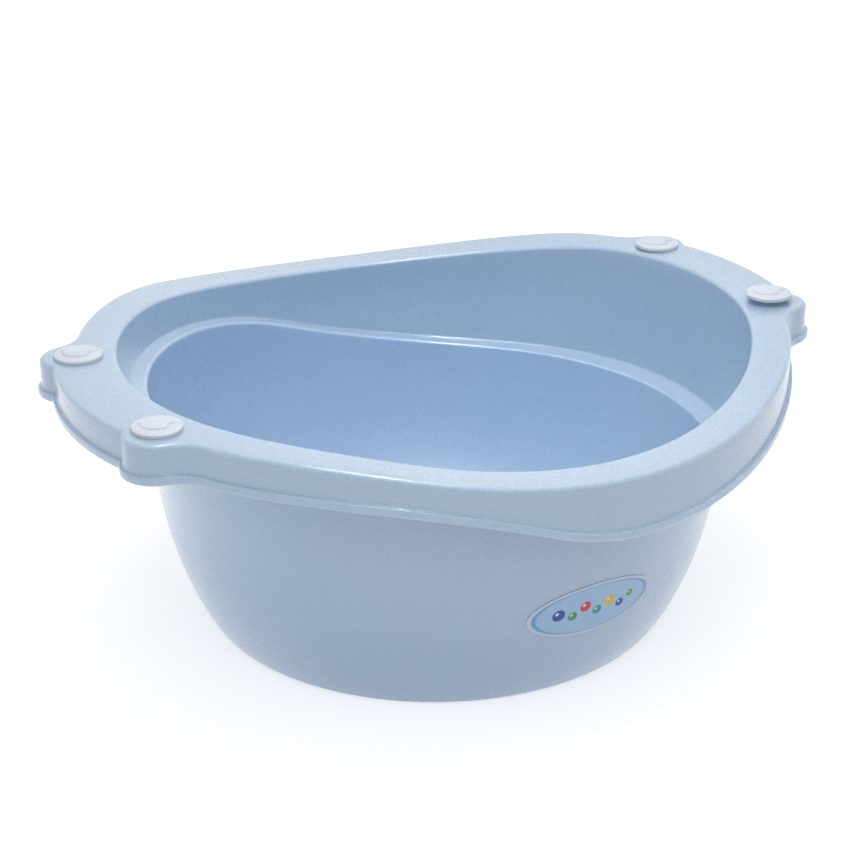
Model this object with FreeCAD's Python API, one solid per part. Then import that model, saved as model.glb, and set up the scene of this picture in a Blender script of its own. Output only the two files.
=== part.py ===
import FreeCAD, Part
import math
import os

from FreeCAD import Vector

# Baby bathtub, millimetres, +Z up, standing on z = 0 with its middle at x = 0, y = 0.
# X runs along the tub, from the end where its ledge is high (-X) to the end where it is low.

# Overall size of the moulding
tub_height = 252.0            # floor to the rim, at the two ends
wall = 3.0                    # thickness of every wall of the tub

# Plan of the rim: a long oval, an arc across each end, and a round ear at each corner
rim_half_width = 291.0
rim_half_length = 309.0
end_overhang = 18.0           # how far the end's arc stands out from the oval
end_arc_radius = 264.0
ear_inset = 14.0              # from the oval's end to the ear's middle, along the tub
ear_y = 93.0
ear_radius = 27.0
ear_side_blend = 34.0         # hollow blend from the ear to the long side
ear_end_blend = 6.0           # tight notch from the ear to the end

# Side view of the rim: both long sides sag in an arc to a low point
rim_low_x = 14.0
rim_sag = 31.0
rim_sag_half_length = 256.0
rim_sag_end_bend = 150.0      # radius where the sag starts, at each end
rim_outer_round = 4.0
rim_inner_round = 5.0

# Apron that hangs from the rim, deeper in the middle of each long side
apron_height = 31.0
apron_wave_depth = 18.0
apron_foot_half_length = 248.0
apron_foot_end_bend = 250.0
bead_height = 8.0
bead_flare = 3.0
bead_round = 2.4

# Upper wall, between the rim and the ledge, an oval that narrows downwards
rim_width = 28.5              # from the rim's outline to the wall, at the sides and the ends
upper_end_draft = 0.21
upper_side_draft = 0.02

# Ledge inside the wall: high at the -X end, low at the +X end, one smooth slope between
ledge_high_drop = 43.5
ledge_low_drop = 110.0
ledge_slope_start_x = -174.0
ledge_slope_end_x = 130.0
ledge_round = 3.0

# Lower bowl; its wall curves in towards the base
ledge_end_step = 31.5         # from the upper wall in to the bowl's top, at the ends
ledge_side_step = 6.0         # the same at the sides
base_end_taper = 47.5         # from the bowl's top in to the base, at the ends
base_side_taper = 56.0        # the same at the sides
bowl_depth_power = 2.8
bowl_turn_power = 1.15
bowl_levels = (0.0, 0.06, 0.13, 0.21, 0.31, 0.44, 0.6, 0.78, 0.94)   # shares of the height
base_panel_lift = 3.0         # the base panel is lifted inside a foot ring
foot_ring_width = 14.0

# Plug caps that close the four holes in the ears
cap_inset_x = 5.0             # from the ear's middle towards the middle of the tub
cap_inset_y = 6.5
cap_turn = 25.0
cap_radius = 20.2
cap_thickness = 3.2
cap_edge_round = 1.2
cap_groove_inset = 3.0
cap_groove_radius = 0.5
cap_hole_radius = 9.0
cap_leg_gap = 0.5             # between the legs and the hole
cap_leg_length = 11.0
cap_leg_thickness = 1.6
cap_leg_slot = 7.0
cap_leg_barb = 0.3
cap_leg_barb_length = 2.0
cap_raised_height = 4.0       # the front right cap stands part way out

# Duck on each cap, in low relief; places are from the cap's middle
duck_body_length = 21.0
duck_body_width = 13.0
duck_body_height = 1.8
duck_body_middle = (-1.5, -2.0)
duck_head_radius = 5.2
duck_head_height = 1.45
duck_head_middle = (6.0, 5.2)
duck_head_round = 0.8
duck_beak_corners = ((10.0, 7.4), (14.4, 5.4), (10.0, 3.6))
duck_beak_height = 0.9
duck_tail_corners = ((-9.0, 2.0), (-14.0, 4.5), (-10.5, -3.5))
duck_tail_height = 0.7

# Gate nubs left by moulding on the edge of each cap
gate_nub_radius = 0.9
gate_nub_height = 1.9
gate_nub_lift = 0.6
gate_nub_turns = (45.0, 135.0)

# Label on the outside of the bowl, near the front
label_half_length = 60.0
label_half_height = 24.5
label_thickness = 0.5
label_seat_gap = 0.05         # the film's adhesive
label_x = 10.0
label_height = 91.0

# Node, end of the tub, side of the tub, height above the rim
caps = (
    ("cap_left_rear", -1, 1, 0.0),
    ("cap_left_front", -1, -1, 0.0),
    ("cap_right_rear", 1, 1, 0.0),
    ("cap_right_front", 1, -1, cap_raised_height),
)

far = 700.0                   # beyond the tub on every side
overrun = 30.0                # how far a helper solid runs past the surface that it makes

end_reach = rim_half_length + end_overhang
ear_x = rim_half_length - ear_inset
upper_half_length = rim_half_length - rim_width
upper_half_width = rim_half_width - rim_width
bowl_half_length = upper_half_length - ledge_end_step
bowl_half_width = upper_half_width - ledge_side_step
base_half_length = bowl_half_length - base_end_taper
base_half_width = bowl_half_width - base_side_taper
cap_x = ear_x - cap_inset_x
cap_y = ear_y - cap_inset_y


def hollow_arc(x, half_length, depth, end_bend):
    """Depth at x of a hollow made of three tangent arcs, with level ground on each side."""
    reach = abs(x - rim_low_x)
    both = (half_length ** 2 + depth ** 2) / (2.0 * depth)
    middle_bend = both - end_bend
    if reach >= half_length:
        return 0.0
    if reach <= half_length * middle_bend / both:
        return depth - middle_bend + math.sqrt(middle_bend ** 2 - reach ** 2)
    return end_bend - math.sqrt(end_bend ** 2 - (half_length - reach) ** 2)


def hollow_breaks(half_length, depth, end_bend):
    """Places along X where the hollow goes from one arc to the next."""
    both = (half_length ** 2 + depth ** 2) / (2.0 * depth)
    turn = half_length * (both - end_bend) / both
    return [rim_low_x + reach for reach in (-half_length, -turn, turn, half_length)]


def rim_top_at(x):
    return tub_height - hollow_arc(x, rim_sag_half_length, rim_sag, rim_sag_end_bend)


def apron_foot_at(x):
    depth = rim_sag + apron_wave_depth
    hollow = hollow_arc(x, apron_foot_half_length, depth, apron_foot_end_bend)
    return tub_height - apron_height - hollow


def ledge_at(x):
    length = ledge_slope_end_x - ledge_slope_start_x
    fall = ledge_low_drop - ledge_high_drop
    bend = (length ** 2 + fall ** 2) / (4.0 * fall)
    high = tub_height - ledge_high_drop
    if x <= ledge_slope_start_x:
        return high
    if x >= ledge_slope_end_x:
        return high - fall
    if x <= ledge_slope_start_x + 0.5 * length:
        return high - bend + math.sqrt(bend ** 2 - (x - ledge_slope_start_x) ** 2)
    return high - fall + bend - math.sqrt(bend ** 2 - (ledge_slope_end_x - x) ** 2)


rim_top_breaks = hollow_breaks(rim_sag_half_length, rim_sag, rim_sag_end_bend)
apron_foot_breaks = hollow_breaks(
    apron_foot_half_length, rim_sag + apron_wave_depth, apron_foot_end_bend
)
ledge_breaks = [
    ledge_slope_start_x,
    0.5 * (ledge_slope_start_x + ledge_slope_end_x),
    ledge_slope_end_x,
]


def side_curve(height_at, breaks, lift=0.0):
    """Lines and tangent arcs of one curve in the side view, drawn at y = -far."""
    stops = [-far] + breaks + [far]
    edges = []
    for start, end in zip(stops[:-1], stops[1:]):
        places = (start, 0.5 * (start + end), end)
        points = [Vector(x, -far, height_at(x) + lift) for x in places]
        if abs(points[0].z - points[2].z) + abs(points[1].z - points[2].z) < 0.001:
            edges.append(Part.makeLine(points[0], points[2]))
        else:
            edges.append(Part.Arc(*points).toShape())
    return edges


def side_region(lower, upper):
    """Solid between two side-view curves, through the full width of the tub."""
    start = Part.makeLine(lower[0].Vertexes[0].Point, upper[0].Vertexes[0].Point)
    end = Part.makeLine(lower[-1].Vertexes[-1].Point, upper[-1].Vertexes[-1].Point)
    edges = lower + upper + [start, end]
    face = Part.Face(Part.Wire(Part.__sortEdges__(edges)))
    return face.extrude(Vector(0, 2.0 * far, 0))


def level_line(height):
    """A level side-view curve."""
    return side_curve(lambda x: height, [])


def upright_oval(half_length, half_width, low, high):
    """Upright prism on an oval, its long axis along X or Y as the sizes ask."""
    if half_length >= half_width:
        oval = Part.Ellipse(Vector(0, 0, low), half_length, half_width).toShape()
    else:
        oval = Part.Ellipse(Vector(0, 0, low), half_width, half_length).toShape()
        oval.rotate(Vector(0, 0, low), Vector(0, 0, 1), 90)
    return Part.Face(Part.Wire([oval])).extrude(Vector(0, 0, high - low))


def ear_corners(body, grow, beyond_ear, slack=0.02):
    """Upright edges where an ear meets the long side (beyond the ear) or the end."""
    found = []
    for edge in body.Edges:
        first = edge.Vertexes[0].Point
        last = edge.Vertexes[-1].Point
        upright = math.hypot(first.x - last.x, first.y - last.y) < slack < abs(first.z - last.z)
        reach = math.hypot(abs(first.x) - ear_x, abs(first.y) - ear_y)
        on_ear = abs(reach - ear_radius - grow) < slack
        is_beyond = abs(first.y) > ear_y
        if upright and on_ear and is_beyond == beyond_ear:
            found.append(edge)
    return found


def rim_prism(grow, low, high):
    """Upright prism on the rim's outline, moved outwards by grow."""
    tall = high - low
    body = upright_oval(rim_half_length + grow, rim_half_width + grow, low, high)
    for side in (-1, 1):
        arc_middle = side * (end_reach - end_arc_radius)
        arc = Part.makeCylinder(end_arc_radius + grow, tall, Vector(arc_middle, 0, low))
        tab = Part.makeBox(far, 2.0 * ear_y, tall, Vector(0, -ear_y, low))
        if side < 0:
            tab.translate(Vector(-far, 0, 0))
        body = body.fuse(arc.common(tab))
        for across in (-1, 1):
            middle = Vector(side * ear_x, across * ear_y, low)
            body = body.fuse(Part.makeCylinder(ear_radius + grow, tall, middle))
    body = body.removeSplitter()
    body = body.makeFillet(ear_side_blend - grow, ear_corners(body, grow, True))
    return body.makeFillet(ear_end_blend - grow, ear_corners(body, grow, False))


def oval_wire(half_length, half_width, height):
    """Closed oval that starts at +X whichever way it is longer, so lofts don't twist."""
    count = 24
    points = []
    for step in range(count):
        turn = 2.0 * math.pi * step / count
        points.append(Vector(half_length * math.cos(turn), half_width * math.sin(turn), height))
    curve = Part.BSplineCurve()
    curve.interpolate(Points=points, PeriodicFlag=True)
    return Part.Wire([curve.toShape()])


def oval_loft(levels):
    """Solid through level ovals, each given as (half length, half width, height)."""
    wires = [oval_wire(*size) for size in levels]
    return Part.makeLoft(wires, True, False)


def upper_wall(inset):
    """Upper wall's oval solid, made smaller all round by inset, taller than the rim."""
    levels = []
    for drop in (-overrun, ledge_low_drop + overrun):
        half_length = upper_half_length - upper_end_draft * drop - inset
        half_width = upper_half_width - upper_side_draft * drop - inset
        levels.append((half_length, half_width, tub_height - drop))
    return oval_loft(levels)


def bowl_size_at(height):
    """Half length and half width of the lower bowl's outside."""
    depth = min(max(1.0 - height / tub_height, 0.0), 1.0)
    turn = (1.0 - depth ** bowl_depth_power) ** (1.0 / bowl_turn_power)
    half_length = base_half_length + (bowl_half_length - base_half_length) * turn
    half_width = base_half_width + (bowl_half_width - base_half_width) * turn
    return half_length, half_width


def lower_bowl(inset, bottom):
    """Lower bowl's oval solid, made smaller all round by inset, closed at height bottom."""
    levels = []
    for share in bowl_levels:
        height = tub_height * share
        half_length, half_width = bowl_size_at(height)
        levels.append((half_length - inset, half_width - inset, height + bottom * (1.0 - share)))
    return oval_loft(levels)


def edges_at(body, height_at, slack=0.05):
    """Edges of a body that follow one of the side-view curves all the way."""
    found = []
    for edge in body.Edges:
        points = edge.discretize(5)
        if all(abs(point.z - height_at(point.x)) < slack for point in points):
            found.append(edge)
    return found


def rim_and_apron():
    """The flat rim with the apron that hangs from it, and the bead along the apron's foot."""
    top = side_curve(rim_top_at, rim_top_breaks)
    foot = side_curve(apron_foot_at, apron_foot_breaks)
    low = tub_height - rim_sag - apron_height - apron_wave_depth - overrun
    high = tub_height + overrun
    outside = rim_prism(0.0, low, high).common(side_region(foot, top))
    bead_top = side_curve(apron_foot_at, apron_foot_breaks, bead_height)
    bead = rim_prism(bead_flare, low, high).common(side_region(foot, bead_top))
    bead_edges = edges_at(bead, apron_foot_at)
    bead_edges += edges_at(bead, lambda x: apron_foot_at(x) + bead_height)
    bead = bead.makeFillet(bead_round, bead_edges)
    under_rim = side_curve(rim_top_at, rim_top_breaks, -wall)
    inside = rim_prism(-wall, low, high).common(side_region(level_line(low), under_rim))
    return outside.fuse(bead).cut(inside)


def on_upper_wall(edge, slack=0.04):
    """True where an edge runs along the upper wall's oval in plan."""
    for point in edge.discretize(5):
        share = math.hypot(point.x / upper_half_length, point.y / upper_half_width)
        if abs(share - 1.0) > slack:
            return False
    return True


def make_tub():
    """The one moulding: rim, apron, stepped wall, bowl and foot ring."""
    under_ledge = side_curve(ledge_at, ledge_breaks, -wall)
    inside_rim = side_curve(rim_top_at, rim_top_breaks, -0.5 * wall)
    band = upper_wall(-wall).common(side_region(under_ledge, inside_rim))
    shell = rim_and_apron().fuse(band.fuse(lower_bowl(0.0, 0.0)))
    above_rim = level_line(tub_height + 0.5 * overrun)
    above_ledge = side_region(side_curve(ledge_at, ledge_breaks), above_rim)
    hollow = upper_wall(0.0).common(above_ledge)
    hollow = hollow.fuse(lower_bowl(wall, wall + base_panel_lift))
    tub = shell.cut(hollow)
    panel_length = base_half_length - foot_ring_width
    panel_width = base_half_width - foot_ring_width
    tub = tub.cut(upright_oval(panel_length, panel_width, -1.0, base_panel_lift))
    for side in (-1, 1):
        for across in (-1, 1):
            middle = Vector(side * cap_x, across * cap_y, tub_height - 3.0 * wall)
            tub = tub.cut(Part.makeCylinder(cap_hole_radius, 6.0 * wall, middle))
    return round_tub_edges(tub)


def round_tub_edges(tub):
    """Rounds on the rim, the ledge, the bead and the foot."""
    tub = tub.makeFillet(ledge_round, edges_at(tub, ledge_at))
    inner = [edge for edge in edges_at(tub, rim_top_at) if on_upper_wall(edge)]
    tub = tub.makeFillet(rim_inner_round, inner)
    outer = []
    for edge in edges_at(tub, rim_top_at):
        middle = edge.discretize(3)[1]
        is_hole = math.hypot(abs(middle.x) - cap_x, abs(middle.y) - cap_y) < 2.0 * cap_hole_radius
        if not is_hole and not on_upper_wall(edge):
            outer.append(edge)
    return tub.makeFillet(rim_outer_round, outer)


def pointed_plate(corners, thickness):
    """Flat three-cornered plate on z = 0, for the duck's beak and tail."""
    points = [Vector(x, y, 0.0) for x, y in corners]
    return Part.Face(Part.makePolygon(points + points[:1])).extrude(Vector(0, 0, thickness))


def make_duck(base):
    """Low-relief duck that stands on the cap's face, at height base."""
    flat = FreeCAD.Matrix()
    flat.A11 = 0.5 * duck_body_length
    flat.A22 = 0.5 * duck_body_width
    flat.A33 = duck_body_height
    body = Part.makeSphere(1.0).transformGeometry(flat)
    body.translate(Vector(*duck_body_middle, 0.0))
    head = Part.makeCylinder(duck_head_radius, duck_head_height)
    head = head.makeFillet(duck_head_round, [head.Edges[0]])
    head.translate(Vector(*duck_head_middle, 0.0))
    beak = pointed_plate(duck_beak_corners, duck_beak_height)
    tail = pointed_plate(duck_tail_corners, duck_tail_height)
    duck = body.fuse([head, beak, tail])
    duck.translate(Vector(0, 0, base))
    return duck


def make_cap():
    """Plug cap with the underside of its face at the origin: face, duck, legs and nubs."""
    face = Part.makeCylinder(cap_radius, cap_thickness)
    top_edges = [edge for edge in face.Edges if abs(edge.BoundBox.ZMin - cap_thickness) < 0.01]
    face = face.makeFillet(cap_edge_round, top_edges)
    groove = Part.makeTorus(cap_radius - cap_groove_inset, cap_groove_radius)
    groove.translate(Vector(0, 0, cap_thickness))
    face = face.cut(groove)
    cap = face.fuse(make_cap_legs()).fuse(make_duck(cap_thickness))
    for turn in gate_nub_turns:
        nub = Part.makeCylinder(gate_nub_radius, gate_nub_height)
        nub.translate(Vector(cap_radius, 0, gate_nub_lift))
        nub.rotate(Vector(0, 0, 0), Vector(0, 0, 1), turn)
        cap = cap.fuse(nub)
    return cap.removeSplitter()


def make_cap_legs():
    """Sleeve under the cap, slotted into four legs, with a barb at their feet."""
    radius = cap_hole_radius - cap_leg_gap
    bottom = Vector(0, 0, -cap_leg_length)
    legs = Part.makeCylinder(radius, cap_leg_length, bottom)
    barb = (radius - cap_leg_barb, radius + cap_leg_barb, cap_leg_barb_length)
    legs = legs.fuse(Part.makeCone(*barb, bottom))
    legs = legs.cut(Part.makeCylinder(radius - cap_leg_thickness, cap_leg_length, bottom))
    corner = Vector(-0.5 * far, -0.5 * cap_leg_slot, -cap_leg_length)
    for turn in (0.0, 90.0):
        slot = Part.makeBox(far, cap_leg_slot, cap_leg_length, corner)
        slot.rotate(Vector(0, 0, 0), Vector(0, 0, 1), turn)
        legs = legs.cut(slot)
    return legs


def make_label():
    """Oval label that follows the outside of the bowl near its front."""
    oval = Part.Ellipse(Vector(0, 0, 0), label_half_length, label_half_height).toShape()
    cutter = Part.Face(Part.Wire([oval])).extrude(Vector(0, 0, far))
    cutter.rotate(Vector(0, 0, 0), Vector(1, 0, 0), 90.0)
    cutter.translate(Vector(label_x, 0, label_height))
    back = lower_bowl(-label_seat_gap, 0.0)
    skin = lower_bowl(-label_seat_gap - label_thickness, 0.0).cut(back)
    return skin.common(cutter)


def main():
    os.makedirs("parts", exist_ok=True)
    pieces = {"tub": make_tub(), "label": make_label()}
    for name, side, across, lift in caps:
        cap = make_cap()
        cap.rotate(Vector(0, 0, 0), Vector(0, 0, 1), cap_turn)
        cap.translate(Vector(side * cap_x, across * cap_y, tub_height + lift))
        pieces[name] = cap
    for name, shape in pieces.items():
        solids = shape.Solids
        solid = solids[0] if len(solids) == 1 else Part.makeCompound(solids)
        print(name, "solids", len(solids), "volume", round(solid.Volume), "valid", solid.isValid())
        solid.exportStep("parts/" + name + ".step")


main()
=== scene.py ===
import math

import bmesh
import bpy
import numpy as np
from mathutils import Matrix, Vector


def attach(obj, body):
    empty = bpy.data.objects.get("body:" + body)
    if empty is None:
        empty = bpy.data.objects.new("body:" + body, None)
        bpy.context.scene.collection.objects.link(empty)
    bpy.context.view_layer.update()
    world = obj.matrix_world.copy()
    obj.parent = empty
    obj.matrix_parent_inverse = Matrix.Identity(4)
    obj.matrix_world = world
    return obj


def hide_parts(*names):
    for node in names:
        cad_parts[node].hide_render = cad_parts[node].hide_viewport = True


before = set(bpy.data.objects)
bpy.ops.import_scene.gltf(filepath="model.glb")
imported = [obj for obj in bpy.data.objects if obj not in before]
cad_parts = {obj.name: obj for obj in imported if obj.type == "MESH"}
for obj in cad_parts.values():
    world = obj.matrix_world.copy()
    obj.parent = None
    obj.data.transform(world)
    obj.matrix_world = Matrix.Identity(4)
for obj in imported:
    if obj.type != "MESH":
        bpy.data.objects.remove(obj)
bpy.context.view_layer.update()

mm = 0.001
print("frame loaded:", len(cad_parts), "nodes")


# fitted to the four caps and the rim in the photograph
view = {
    "place": (-0.8090, -1.4657, 0.8864),
    "pitch": 23.55,      # degrees down
    "yaw": 28.71,        # degrees to the right of +Y
    "roll": 0.40,
    "lens": 87.47,
}

cameraData = bpy.data.cameras.new("camera")
cameraData.lens = view["lens"]
cameraData.sensor_width = 36.0
camera = bpy.data.objects.new("camera", cameraData)
turnSide = Matrix.Rotation(math.radians(-view["yaw"]), 4, "Z")
turnDown = Matrix.Rotation(math.radians(90.0 - view["pitch"]), 4, "X")
turnRoll = Matrix.Rotation(math.radians(-view["roll"]), 4, "Z")
camera.matrix_world = Matrix.Translation(view["place"]) @ turnSide @ turnDown @ turnRoll
bpy.context.scene.collection.objects.link(camera)
bpy.context.scene.camera = camera


# sizes of the tub moulding, millimetres; pairs are for the -X and the +X end
tub = {
    "height": 252.0,
    "wall": 3.0,
    "rimHalfLength": 309.0,
    "rimHalfWidth": 290.95,
    "endOverhang": 17.9,
    "endRadius": 264.0,
    "earInset": 14.5,
    "earY": 92.5,
    "earRadius": 26.0,
    "earSideBlend": 34.0,
    "earEndBlend": 6.0,
    "rimOuterRound": 6.5,
    "rimInnerRound": 4.0,
    "apronHeight": 32.5,
    "beadHeight": 8.0,
    "beadFlare": 3.0,
    "beadRound": 2.8,
    "upperHalfLength": 275.7,
    "upperHalfWidth": 255.5,
    "upperMiddleX": 2.3,
    "upperEndDraft": (0.34, 0.12),
    "upperSideDraft": 0.005,
    "ledgeHeights": (216.0, 141.6),
    "ledgeSlopeX": (-230.0, 181.0),
    "ledgeRound": 9.0,
    "bowlHalfLength": 249.5,
    "bowlHalfWidth": 256.5,
    "baseHalfLength": 201.5,
    "baseHalfWidth": 200.5,
    "insideStep": (2.5, 12.5),   # bowl's top, outside to inside, at the ends and the sides
    "depthPower": 2.8,
    "turnPower": 1.15,
    "floorRound": 9.0,
    "footRound": 5.0,
    "panelLift": 3.0,
    "footRing": 14.0,
    "holeX": 290.0,
    "holeY": 86.5,
    "holeRadius": 9.0,
    "ledgeBackRound": 2.5,
    "seamRound": 1.2,
    "underRimRound": 1.0,
    "panelRound": 0.8,
    "rimSag": {"lowX": 50.0, "lengths": (306.0, 246.0), "depth": 28.1, "bends": (600.0, 295.0)},
    "apronWave": {"lowX": 27.0, "lengths": (271.0, 292.0), "depth": 46.0,
                  "bends": (570.0, 235.0)},
    "endSteps": 12,          # mesh steps along the quarter outline
    "notchSteps": 7,
    "earSteps": 20,
    "blendSteps": 10,
    "sideSteps": 46,
    "wallRows": 18,
    "roundSteps": 6,
}


def hollow(x, curve):  # three tangent arcs, seen from the side
    drop = np.zeros_like(x)
    for side, length, bend in zip((-1.0, 1.0), curve["lengths"], curve["bends"]):
        reach = side * (x - curve["lowX"])
        both = (length ** 2 + curve["depth"] ** 2) / (2.0 * curve["depth"])
        middleBend = both - bend
        turn = length * middleBend / both
        middle = np.sqrt(np.maximum(middleBend ** 2 - reach ** 2, 0.0))
        left = np.clip(length - reach, 0.0, bend)
        arc = np.where(reach <= turn, curve["depth"] - middleBend + middle,
                       bend - np.sqrt(bend ** 2 - left ** 2))
        drop = np.where(reach >= 0.0, arc, drop)
    return drop


def rimTop(x):
    return tub["height"] - hollow(x, tub["rimSag"])


def apronFoot(x):
    return tub["height"] - tub["apronHeight"] - hollow(x, tub["apronWave"])


def ledgeTop(x):  # level, then an S of two equal arcs, then level
    startX, endX = tub["ledgeSlopeX"]
    high, low = tub["ledgeHeights"]
    length, fall = endX - startX, high - low
    bend = (length ** 2 + fall ** 2) / (4.0 * fall)
    fromStart = np.clip(x - startX, 0.0, 0.5 * length)
    fromEnd = np.clip(endX - x, 0.0, 0.5 * length)
    first = high - bend + np.sqrt(bend ** 2 - fromStart ** 2)
    second = low + bend - np.sqrt(bend ** 2 - fromEnd ** 2)
    return np.where(x < startX + 0.5 * length, first, second)


def upperWall(z, turns, grow=0.0):  # the wall above the ledge narrows downwards
    drop = tub["height"] - z
    leftDraft, rightDraft = tub["upperEndDraft"]
    endDraft = rightDraft + (leftDraft - rightDraft) * 0.5 * (1.0 - np.cos(turns))
    halfLength = tub["upperHalfLength"] - endDraft * drop + grow
    halfWidth = tub["upperHalfWidth"] - tub["upperSideDraft"] * drop + grow
    return tub["upperMiddleX"] + halfLength * np.cos(turns), halfWidth * np.sin(turns)


def bowlSizes(z, topLength, topWidth, baseLength, baseWidth):
    depth = np.clip(1.0 - z / tub["height"], 0.0, 1.0)
    turn = (1.0 - depth ** tub["depthPower"]) ** (1.0 / tub["turnPower"])
    return baseLength + (topLength - baseLength) * turn, baseWidth + (topWidth - baseWidth) * turn


def bowlWall(z, turns, grow=0.0):
    length, width = bowlSizes(z, tub["bowlHalfLength"], tub["bowlHalfWidth"],
                              tub["baseHalfLength"], tub["baseHalfWidth"])
    return (length + grow) * np.cos(turns), (width + grow) * np.sin(turns)


def bowlInside(z, turns, grow=0.0):
    bottom = tub["wall"] + tub["panelLift"]
    share = np.clip((z - bottom) / (tub["height"] - bottom), 0.0, 1.0)
    endStep, sideStep = tub["insideStep"]
    length, width = bowlSizes(tub["height"] * share, tub["bowlHalfLength"] - endStep,
                              tub["bowlHalfWidth"] - sideStep,
                              tub["baseHalfLength"] - tub["wall"],
                              tub["baseHalfWidth"] - tub["wall"])
    return (length + grow) * np.cos(turns), (width + grow) * np.sin(turns)


def arcPoints(middle, radius, start, end, steps, outward):
    turns = np.linspace(start, end, steps + 1)
    direction = np.stack([np.cos(turns), np.sin(turns)], axis=1)
    return np.array(middle) + radius * direction, outward * direction


def nearestOnRim(point):  # turn of the rim oval's nearest point
    a, b = tub["rimHalfLength"], tub["rimHalfWidth"]
    turn = math.atan2(point[1] * a, point[0] * b)
    for _ in range(20):
        c, s = math.cos(turn), math.sin(turn)
        value = (a * a - b * b) * c * s - point[0] * a * s + point[1] * b * c
        slope = (a * a - b * b) * (c * c - s * s) - point[0] * a * c - point[1] * b * s
        turn -= value / slope
    return turn


def rimOutline():  # points, outward directions and oval turns, all the way round
    a, b = tub["rimHalfLength"], tub["rimHalfWidth"]
    ear = np.array([a - tub["earInset"], tub["earY"]])
    endMiddle = np.array([a + tub["endOverhang"] - tub["endRadius"], 0.0])

    # hollow blend from the ear to the long side
    low, high = math.radians(40.0), math.radians(160.0)
    for _ in range(60):
        turn = 0.5 * (low + high)
        reach = tub["earRadius"] + tub["earSideBlend"]
        blendMiddle = ear + reach * np.array([math.cos(turn), math.sin(turn)])
        sideTurn = nearestOnRim(blendMiddle)
        foot = np.array([a * math.cos(sideTurn), b * math.sin(sideTurn)])
        if np.linalg.norm(blendMiddle - foot) > tub["earSideBlend"]:
            low = turn
        else:
            high = turn
    blendFoot = foot

    # tight notch from the ear to the end
    toEar = ear - endMiddle
    apart = np.linalg.norm(toEar)
    fromEnd = tub["endRadius"] + tub["earEndBlend"]
    fromEar = tub["earRadius"] + tub["earEndBlend"]
    along = (apart ** 2 + fromEnd ** 2 - fromEar ** 2) / (2.0 * apart)
    aside = math.sqrt(fromEnd ** 2 - along ** 2)
    forward = toEar / apart
    notchMiddle = endMiddle + along * forward + aside * np.array([forward[1], -forward[0]])

    def bearing(start, end):
        return math.atan2(end[1] - start[1], end[0] - start[0])

    endTurn = bearing(endMiddle, notchMiddle)
    notchFoot = endMiddle + tub["endRadius"] * (notchMiddle - endMiddle) / fromEnd
    runs = [
        arcPoints(endMiddle, tub["endRadius"], 0.0, endTurn, tub["endSteps"], 1.0),
        arcPoints(notchMiddle, tub["earEndBlend"], bearing(notchMiddle, notchFoot) % (2 * math.pi),
                  bearing(notchMiddle, ear) % (2 * math.pi), tub["notchSteps"], -1.0),
        arcPoints(ear, tub["earRadius"], bearing(ear, notchMiddle), bearing(ear, blendMiddle),
                  tub["earSteps"], 1.0),
        arcPoints(blendMiddle, tub["earSideBlend"], bearing(blendMiddle, ear),
                  bearing(blendMiddle, blendFoot), tub["blendSteps"], -1.0),
    ]
    points = np.concatenate([run[0][:-1] for run in runs] + [blendFoot[None]])
    normals = np.concatenate([run[1][:-1] for run in runs] + [runs[-1][1][-1:]])
    lengths = np.concatenate([[0.0], np.cumsum(np.linalg.norm(np.diff(points, axis=0), axis=1))])
    turns = sideTurn * lengths / lengths[-1]

    sideTurns = np.linspace(sideTurn, 0.5 * math.pi, tub["sideSteps"] + 1)[1:]
    sidePoints = np.stack([a * np.cos(sideTurns), b * np.sin(sideTurns)], axis=1)
    sideNormals = np.stack([b * np.cos(sideTurns), a * np.sin(sideTurns)], axis=1)
    sideNormals /= np.linalg.norm(sideNormals, axis=1)[:, None]
    points = np.concatenate([points, sidePoints])
    normals = np.concatenate([normals, sideNormals])
    turns = np.concatenate([turns, sideTurns])

    # the quarter, mirrored to the half and then to the whole
    flip = np.array([-1.0, 1.0])
    points = np.concatenate([points, (points * flip)[::-1][1:]])
    normals = np.concatenate([normals, (normals * flip)[::-1][1:]])
    turns = np.concatenate([turns, (math.pi - turns)[::-1][1:]])
    flip = np.array([1.0, -1.0])
    points = np.concatenate([points, (points * flip)[::-1][1:-1]])
    normals = np.concatenate([normals, (normals * flip)[::-1][1:-1]])
    turns = np.concatenate([turns, (2 * math.pi - turns)[::-1][1:-1]])
    return points, normals, turns


def wallRow(wallAt, heightAt, turns, grow=0.0):  # where a wall meets a height curve
    z = np.full_like(turns, tub["height"])
    for _ in range(16):
        x, y = wallAt(z, turns, grow)
        z = heightAt(x)
    return np.stack([x, y, z], axis=1)


def rowsBetween(wallAt, low, high, turns, shares, grow=0.0):
    rows = []
    for share in shares:
        z = low[:, 2] + share * (high[:, 2] - low[:, 2])
        x, y = wallAt(z, turns, grow)
        rows.append(np.stack([x, y, z], axis=1))
    return rows


def outlineRow(points, normals, grow, heightAt):
    place = points + grow * normals
    return np.concatenate([place, heightAt(place[:, 0])[:, None]], axis=1)


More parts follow.
